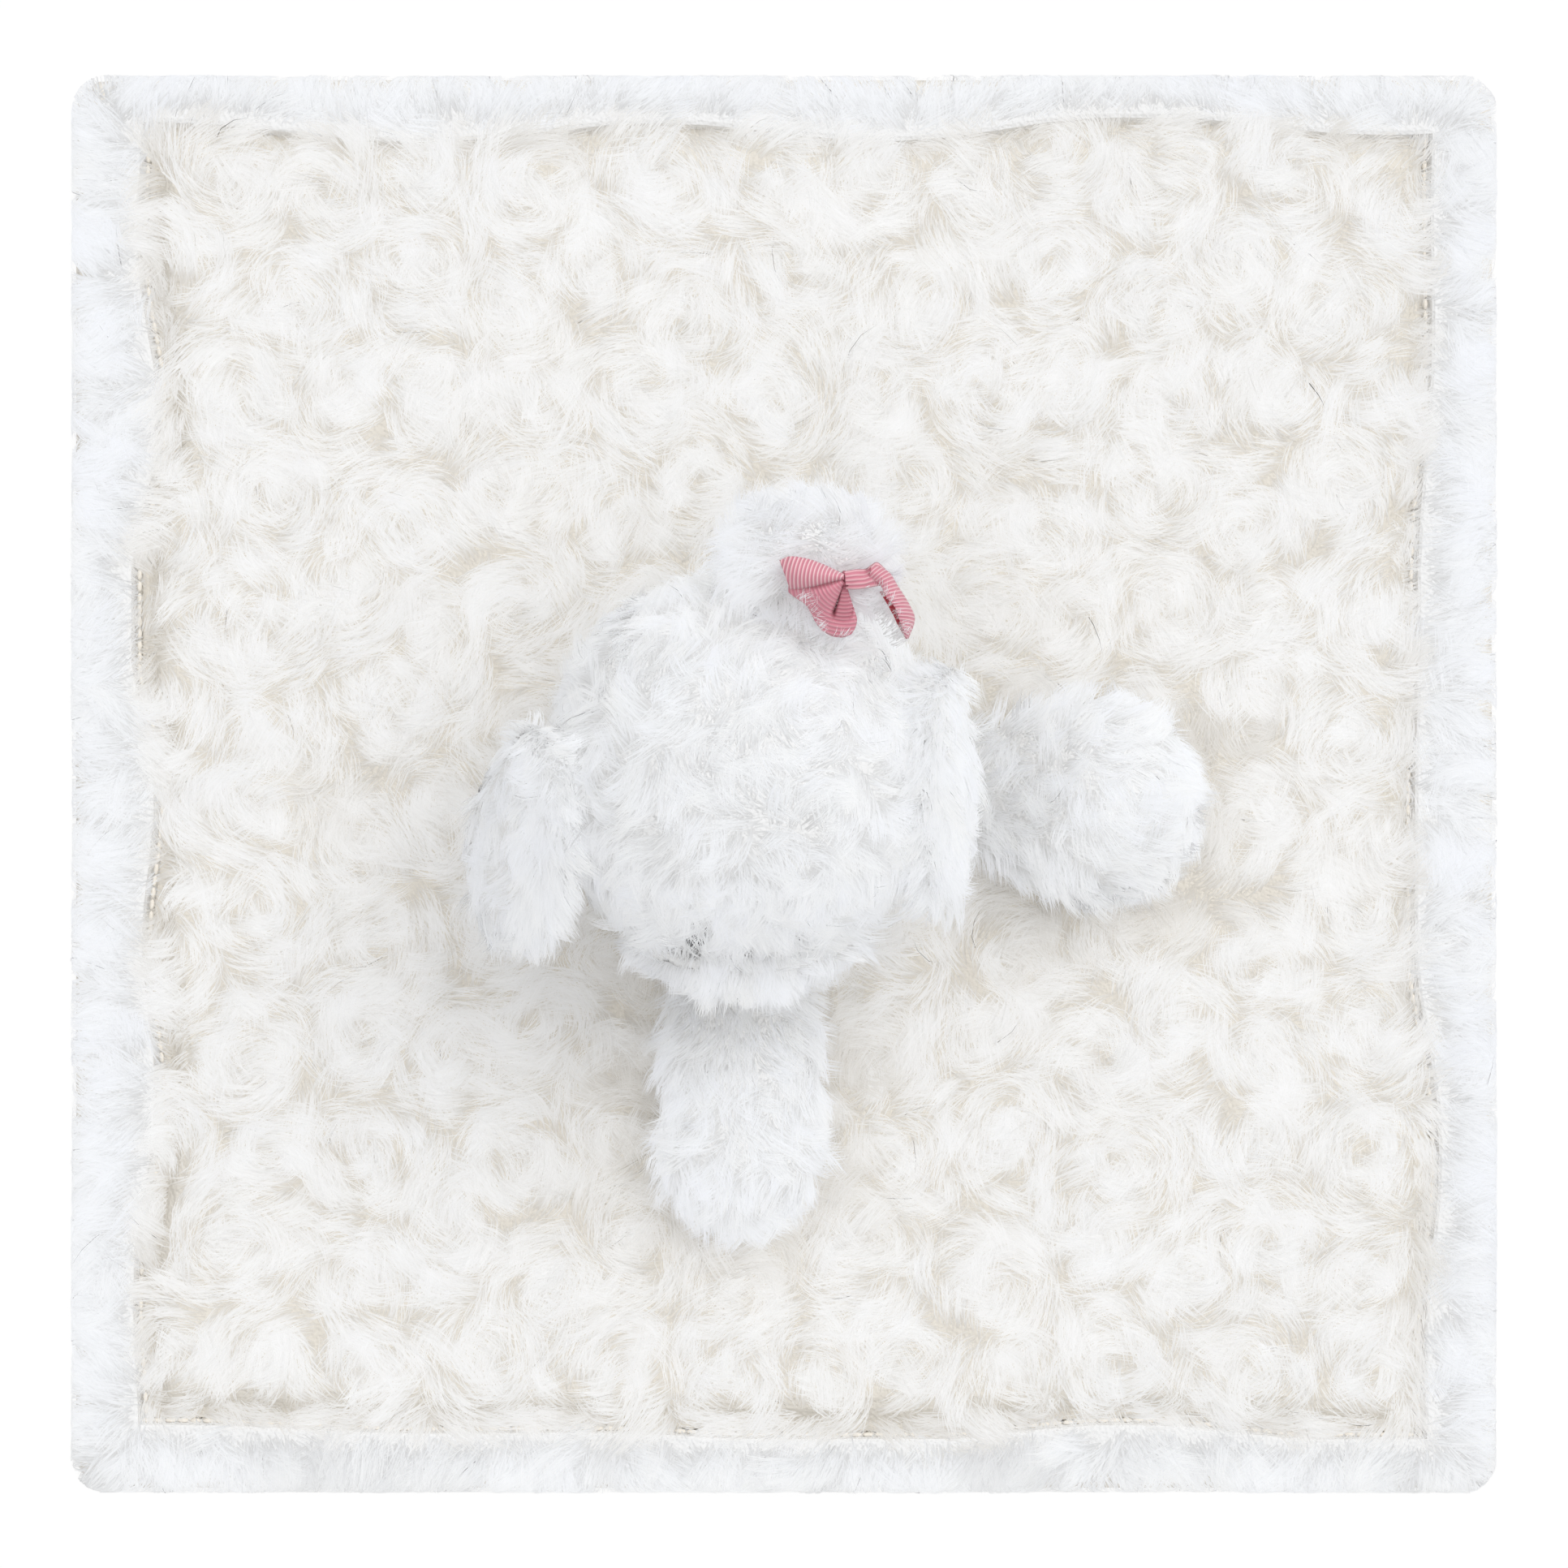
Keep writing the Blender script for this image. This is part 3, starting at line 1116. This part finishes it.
BOW_TUFT_PILE = dict(
    TOY_PILE, length=0.0060, lean=(48, 86), fibres=18, spread=0.0018, width=0.00022, gather=0.30,
    untidy=20, up=0.60,
)
TOY_SPACING = 0.0034
TOY_ROSETTE = 0.021
TOY_TONE, TOY_TONE_WAVES, TOY_TONE_SPREAD = 0.78, 0.26, 0.11
FRINGE_TONE, FRINGE_FAN = 0.68, 0.6
FORM_RINGS = 5
THINNED_SHARE = 0.86
PADDING, EAR_PADDING = 0.8, 0.3
COVERED_FROM = 0.002
FRINGE_ROOT = 0.0025
EAR_OVERLAP = 0.012
EAR_LIFT = 42
LEFT_EYE_SPOT = (-0.0211, -0.0376)
EYE_OPENING = (0.0023, 0.0018)
EYE_HEIGHT = 0.06
STRAY_SHARE = 0.12
BROW_RISE = 0.0006
BOW_REACH = 0.022
UNDER_RIBBON = 0.0007
CURL_OVER_SHARE = 0.30
ON_RIBBON = 0.0003
UNDER_TUFT = 0.0015
# Where locks rise beside the ribbon, in millimetres from the pinch, and the angle each is combed to.
BOW_TUFTS = (
    (-11.6, -7.0, 25), (-10.2, -8.4, 10), (-9.6, -9.8, 20), (-9.2, -11.4, 10), (-8.6, -13.0, 30),
    (-7.4, -14.2, 45), (-5.6, -15.2, 60), (-3.6, -15.8, 75), (-1.2, -16.0, 95), (4.6, -12.4, 150),
    (5.2, -3.2, 40), (6.0, -4.2, 50), (6.8, -5.4, 40), (7.6, -6.8, 35), (8.6, -8.4, 30),
    (9.6, -10.0, 25), (10.6, -11.8, 25), (12.0, -13.8, 40),
)
HEAD_LOW, HEAD_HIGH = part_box("head_cover")
HEAD_MIDDLE = np.array((HEAD_LOW + HEAD_HIGH) / 2)
RIBBON_TREE = tree_of(
    piece
    for piece in bpy.data.objects
    if piece.name.startswith("bow_") and piece.name.endswith(("_ribbon", "_pinch"))
)


class Form:
    """A stuffed form, cast from outside onto its CAD solids: its points, faces and normals."""

    def __init__(self, *nodes):
        low = Vector(np.min([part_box(node)[0] for node in nodes], axis=0))
        high = Vector(np.max([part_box(node)[1] for node in nodes], axis=0))
        self.nodes = nodes
        self.middle = (low + high) / 2
        tree = cad_tree(*nodes)
        self.bm = bmesh.new()
        bmesh.ops.create_icosphere(self.bm, subdivisions=FORM_RINGS, radius=1.0)
        for vert in self.bm.verts:
            way = vert.co.normalized()
            hit = tree.ray_cast(self.middle + way * 0.3, -way)[0]
            if hit is None or (hit - self.middle).dot(way) < 0:
                hit = tree.find_nearest(self.middle + way * 0.02)[0]
            vert.co = hit
        bmesh.ops.smooth_vert(
            self.bm, verts=self.bm.verts, factor=0.5, use_axis_x=True, use_axis_y=True, use_axis_z=True
        )
        self.bm.normal_update()

    def scatter(self, spacing, seed):
        """Places spread evenly over the form, one a cell, and the outward way at each."""
        rng = np.random.default_rng(seed)
        points = np.array([vert.co for vert in self.bm.verts])
        normals = np.array([vert.normal for vert in self.bm.verts])
        faces = np.array([[vert.index for vert in face.verts] for face in self.bm.faces])
        corners = points[faces]
        edges = corners[:, 1:] - corners[:, :1]
        areas = np.linalg.norm(np.cross(edges[:, 0], edges[:, 1]), axis=1)
        many = int(areas.sum() / 2 / spacing**2 * 14)
        chosen_faces = rng.choice(len(faces), many, p=areas / areas.sum())
        weights = rng.dirichlet((1, 1, 1), many)[..., None]
        places = (corners[chosen_faces] * weights).sum(axis=1)
        outward = unit((normals[faces[chosen_faces]] * weights).sum(axis=1))
        kept = thinned(places, spacing * THINNED_SHARE)
        return places[kept], outward[kept]

    def ground(self, name, inset, material, body, slot, fill):
        """The form's cloth, this far under the CAD surface."""
        for vert, normal in [(vert, vert.normal.copy()) for vert in self.bm.verts]:
            vert.co -= normal * inset
        bmesh.ops.recalc_face_normals(self.bm, faces=self.bm.faces)
        piece = add_piece(name, self.bm, material, body, self.nodes)


def thinned(places, apart):
    """Which places to keep so that none is nearer to another than this, first come first kept."""
    cells, kept = {}, []
    beside = np.stack(np.meshgrid((-1, 0, 1), (-1, 0, 1), (-1, 0, 1)), axis=-1).reshape(-1, 3)
    for number, (place, cell) in enumerate(zip(places, np.floor(places / apart).astype(int))):
        near = (other for key in map(tuple, cell + beside) for other in cells.get(key, ()))
        if all(((place - other) ** 2).sum() > apart**2 for other in near):
            cells.setdefault(tuple(cell), []).append(place)
            kept.append(number)
    return np.array(kept)


def clear_of(places, outward, nodes):
    """Which places these solids leave open, seen from a little above the surface."""
    tree = cad_tree(*nodes)
    clear = []
    for place in map(Vector, places + outward * COVERED_FROM):
        near, normal, _, _ = tree.find_nearest(place)
        clear.append((place - near).dot(normal) >= 0)
    return np.array(clear)


def cover_form(name, body, look, seed, comb, inset, hidden_by=(), shape=None, tone=TOY_TONE):
    """A stuffed cover's ground cloth and its pile."""
    form = Form(name + "_cover", name + "_stuffing")
    places, outward = form.scatter(TOY_SPACING, seed)
    if hidden_by:
        clear = clear_of(places, outward, hidden_by)
        places, outward = places[clear], outward[clear]
    form.ground(name + "_ground", inset, COOL_GROUND, body, "cool_plush", PADDING)
    brush_form(name, places, outward, inset, body, look, seed, comb, shape, tone)


def brush_form(name, places, outward, inset, body, look, seed, comb, shape, tone):
    """A form's pile. Comb gives the way that it is brushed, and how firmly: the rest of its way
    comes from the swirls."""
    rng = np.random.default_rng(seed + 1)
    low, high = places.min(axis=0) - TOY_ROSETTE, places.max(axis=0) + TOY_ROSETTE
    centres = rng.uniform(low, high, (int(np.prod((high - low) / TOY_ROSETTE) * 1.1) + 8, 3))
    spins = rng.choice([-1.0, 1.0], len(centres))
    ways, spin = swirl(places, outward, centres, spins, TOY_ROSETTE)
    combed, firm, *droop = comb(places)
    ways = flat_on(ways * (1 - firm) + flat_on(combed, outward) * firm, outward)
    tone = tone + TOY_TONE_WAVES * waves(places, 0.015, seed + 2)
    tone += rng.normal(0, TOY_TONE_SPREAD, len(places))
    scale = 1 + 0.15 * waves(places, 0.015, seed + 3)
    locks = new_locks(places - outward * inset, outward, ways, spin=-spin, tone=tone, scale=scale)
    locks["droop"] += droop[0] if droop else 0
    add_piles(name + "_pile", locks, look, COOL_PILE, body, seed + 4, shape)


def part_round_eye(lines, outward, own):
    """Fibres that would lie over the seen part of the left eye are left out, but for a few."""
    rng = np.random.default_rng(71)
    past = (lines[..., :2] - LEFT_EYE_SPOT) / np.array(EYE_OPENING)
    over = (np.linalg.norm(past, axis=-1) < 1).any(axis=1) & (lines[..., 2].max(axis=1) > EYE_HEIGHT)
    keep = ~over | (rng.uniform(0, 1, len(lines)) < STRAY_SHARE)
    return lines[keep], outward[keep], own[keep]


def part_round_bow(lines, outward, own):
    """The ribbon presses the fibres under it flat, but for a few that curl over its edges."""
    rng = np.random.default_rng(72)
    near = (np.abs(lines[..., :2] - np.array(PINCH.xy)) < BOW_REACH).all(axis=-1).any(axis=1)
    for number in np.nonzero(near)[0]:
        over = []
        for step, (x, y, z) in enumerate(lines[number]):
            hit = seen_at(RIBBON_TREE, x, y)[0]
            if hit is not None and hit.z < z + UNDER_RIBBON:
                over.append((step, hit.z - UNDER_RIBBON))
        if len(over) == 1 and rng.uniform() < CURL_OVER_SHARE:
            continue
        for step, height in over:
            lines[number, step, 2] = height
    return lines, outward, own


def over_bow(lines, outward, own):
    """Fibres that curl over the ribbon lie on it."""
    for line in lines:
        for step, (x, y, z) in enumerate(line):
            hit = seen_at(RIBBON_TREE, x, y)[0]
            if hit is not None:
                line[step, 2] = max(z, hit.z + ON_RIBBON * (0.4 + step))
    return lines, outward, own


def make_bow_tufts():
    """Locks of the head's pile that stick up beside the ribbon and curl over its edges."""
    xy = np.array(PINCH.xy) + np.array(BOW_TUFTS)[:, :2] * MM
    angles = np.radians(np.array(BOW_TUFTS)[:, 2])
    places = np.column_stack([xy, [crown_height(x, y) - UNDER_TUFT for x, y in xy]])
    ways = np.column_stack([np.cos(angles), np.sin(angles), np.zeros(len(xy))])
    spin = np.where(np.arange(len(xy)) % 2, 1.0, -1.0)
    locks = new_locks(places, np.tile(UP, (len(xy), 1)), ways, tone=np.full(len(xy), 0.9), spin=spin)
    add_piles("bow_tuft_pile", locks, BOW_TUFT_PILE, COOL_PILE, "head", 290, over_bow)


def open_face(lines, outward, own):
    """Fibres from above a bead pass over it as a brow, and those that would hang before it are left out."""
    keep = np.ones(len(lines), bool)
    for node in ("left_eye", "right_eye", "nose"):
        low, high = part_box(node)
        middle, half = (low + high) / 2, (high - low) / 2
        beside = np.abs(lines[..., 0] - middle.x) / (half.x * 1.05)
        before = (beside < 1) & (lines[..., 1] < middle.y) & (lines[..., 1] > low.y - 0.010)
        from_above = lines[:, 0, 2] > middle.z + half.z * 0.6
        arch = high.z + BROW_RISE - half.z * 0.5 * beside**2
        lifted = before & from_above[:, None] & (lines[..., 2] < arch)
        lines[..., 2] = np.where(lifted, arch, lines[..., 2])
        hanging = before & (lines[..., 2] > low.z) & (lines[..., 2] < high.z)
        keep &= ~(hanging.any(axis=1) & ~from_above)
    return lines[keep], outward[keep], own[keep]


def face_parting(lines, outward, own):
    return open_face(*part_round_eye(lines, outward, own))


def head_parting(lines, outward, own):
    return part_round_bow(*face_parting(lines, outward, own))


def straight(way, firm):
    return lambda places: (np.tile(np.array(way, dtype=float), (len(places), 1)), firm)


def comb_head(places):
    """Down and away from the crown, loosely, and forwards over the brow."""
    away = places - HEAD_MIDDLE
    away[:, 2] = -0.01
    brow = np.clip((-0.012 - away[:, 1]) / 0.014, 0, 1)[:, None]
    forwards = np.tile([0.0, -1.0, -0.3], (len(places), 1))
    forwards[:, 0] = away[:, 0] * 14
    return unit(unit(away) * (1 - brow) + unit(forwards) * brow), 0.25 + 0.50 * brow


def comb_topknot(places):
    """Out from the top on all sides, loosely."""
    low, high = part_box("topknot_cover")
    away = places - np.array((low + high) / 2)
    away[:, 2] = -0.012
    return unit(away), 0.35


def comb_muzzle(places):
    """Forwards and down over the nose, spread to both sides."""
    ways = np.tile([0.0, -1.0, -0.30], (len(places), 1))
    ways[:, 0] = (places[:, 0] - HEAD_MIDDLE[0]) / 0.030 * 1.2
    return unit(ways), 0.80


def comb_ear(way, head_side):
    """Down along the ear, and at the edge beside the head over the slot towards it."""

    def comb(places):
        edge = (places[:, 0] * head_side).max()
        beside = np.clip(1 - (edge - places[:, 0] * head_side) / EAR_OVERLAP, 0, 1)[:, None]
        over = np.array([head_side, -0.25, 0.1])
        ways = np.array(way) * (1 - 0.7 * beside) + over * 0.7 * beside
        return unit(ways), 0.62, -EAR_LIFT * beside[:, 0]

    return comb


def fringe(name, nodes, body, low, high, way, look, seed, shape=None, spacing=0.0020):
    """A thicker row of pile on the top of a form, brushed forwards over its edge."""
    tree = cad_tree(*nodes)
    places, outward = [], []
    for x, y in jittered_grid(low, high, spacing, seed):
        hit, normal = seen_at(tree, x, y)
        if hit is not None and normal.z > 0.1:
            places.append(hit)
            outward.append(normal)
    places, outward = np.array(places), np.array(outward)
    ways = np.tile(np.array(way, dtype=float), (len(places), 1))
    ways[:, 0] += (places[:, 0] - HEAD_MIDDLE[0]) / 0.030 * FRINGE_FAN
    scale = np.clip((high[1] - places[:, 1]) / (high[1] - low[1]) * 1.6, 0.5, 1.0)
    scale *= 1 + 0.2 * waves(places, 0.008, seed + 3)
    tone = FRINGE_TONE + TOY_TONE_WAVES * waves(places, 0.012, seed + 2)
    spin = np.sign(waves(places, 0.01, seed + 1))
    places = places - outward * FRINGE_ROOT
    locks = new_locks(places, outward, flat_on(ways, outward), spin=spin, scale=scale, tone=tone)
    add_piles(name, locks, look, COOL_PILE, body, seed, shape)


beside_head = ("muzzle_cover", "topknot_cover")
cover_form("head", "head", TOY_PILE, 100, comb_head, 0.0040, beside_head, head_parting, 0.66)
cover_form("muzzle", "head", MUZZLE_PILE, 120, comb_muzzle, 0.0034, ["head_cover"], face_parting, 0.92)
fringe(
    "brow_pile", ["head_cover"], "head", (-0.044, -0.0375), (0.026, -0.0230), (0, -1.0, -0.55),
    BROW_PILE, 250, face_parting,
)
fringe(
    "nose_fringe_pile", ["muzzle_cover"], "head", (-0.0200, -0.0490), (0.0010, -0.0410), (0, -1.0, 0.0),
    NOSE_FRINGE_PILE, 260, face_parting, spacing=0.0016,
)
cover_form("topknot", "head", TOPKNOT_PILE, 140, comb_topknot, 0.0050, ["head_cover"], part_round_bow, 0.95)
for node, way, seed in (
    ("right_paw_root", (1.0, -0.15, 0.0), 270),
    ("front_paw_root", (0.0, -1.0, 0.0), 280),
):
    places, outward = Form(node).scatter(TOY_SPACING, seed)
    shown = outward[:, 2] > -0.2
    places, outward = places[shown], outward[shown]
    brush_form(node, places, outward, 0.0015, "blanket", TAB_PILE, seed, straight(way, 0.7), None, 0.7)
make_bow_tufts()
for ear, head_side, way, face, low, high, seed in (
    ("left_ear", 1, (-0.22, -0.76, -0.60), (-0.74, -0.08, 0.66), (-0.062, -0.034), (-0.048, 0.018), 160),
    ("right_ear", -1, (0.06, -0.90, -0.44), (0.93, 0.02, 0.37), (0.029, -0.028), (0.040, 0.032), 180),
):
    halves = (ear + "_plush", ear + "_lining")
    places, outward = Form(*halves).scatter(TOY_SPACING, seed)
    outside = outward @ unit(np.array(face)) > -0.45
    places, outward = places[outside], outward[outside]
    brush_form(ear, places, outward, 0.0030, ear, EAR_PILE, seed, comb_ear(way, head_side), None, 0.9)
    fringe(ear + "_root_pile", halves, ear, low, high, (head_side, -0.15, 0.0), EAR_ROOT_PILE, seed + 8)
    for half, slot, inset in zip(halves, ("cool_plush", "ear_lining"), (0.0016, 0.0008)):
        Form(half).ground(half + "_cloth", inset, COOL_GROUND, ear, slot, EAR_PADDING)
comb_right, comb_front = straight((0.9, -0.35, -0.1), 0.55), straight((0.0, -1.0, -0.1), 0.60)
cover_form("right_paw", "right_paw", PAW_PILE, 200, comb_right, 0.0044)
cover_form("front_paw", "front_paw", FRONT_PAW_PILE, 220, comb_front, 0.0044, tone=0.86)

# ---------------------------------------------------------------- the eyes and nose
# Glossy black plastic beads on shanks, held inside by pale washers. The wadding stays hidden.
BEAD = mottled(
    "black_bead", (0.012, 0.012, 0.016), (0.03, 0.03, 0.04), 0.002, Roughness=0.12, Coat_Weight=0.6
)
WASHER = mottled("washer_white", (0.80, 0.80, 0.80), (0.72, 0.72, 0.73), 0.003, Roughness=0.5)
HARD_PARTS = {"nose": BEAD, "left_eye": BEAD, "right_eye": BEAD}
HARD_PARTS |= {"left_eye_washer": WASHER, "right_eye_washer": WASHER}
for node, material in HARD_PARTS.items():
    data = frame["nodes"][node].data
    for slot in range(len(data.materials)):
        data.materials[slot] = material
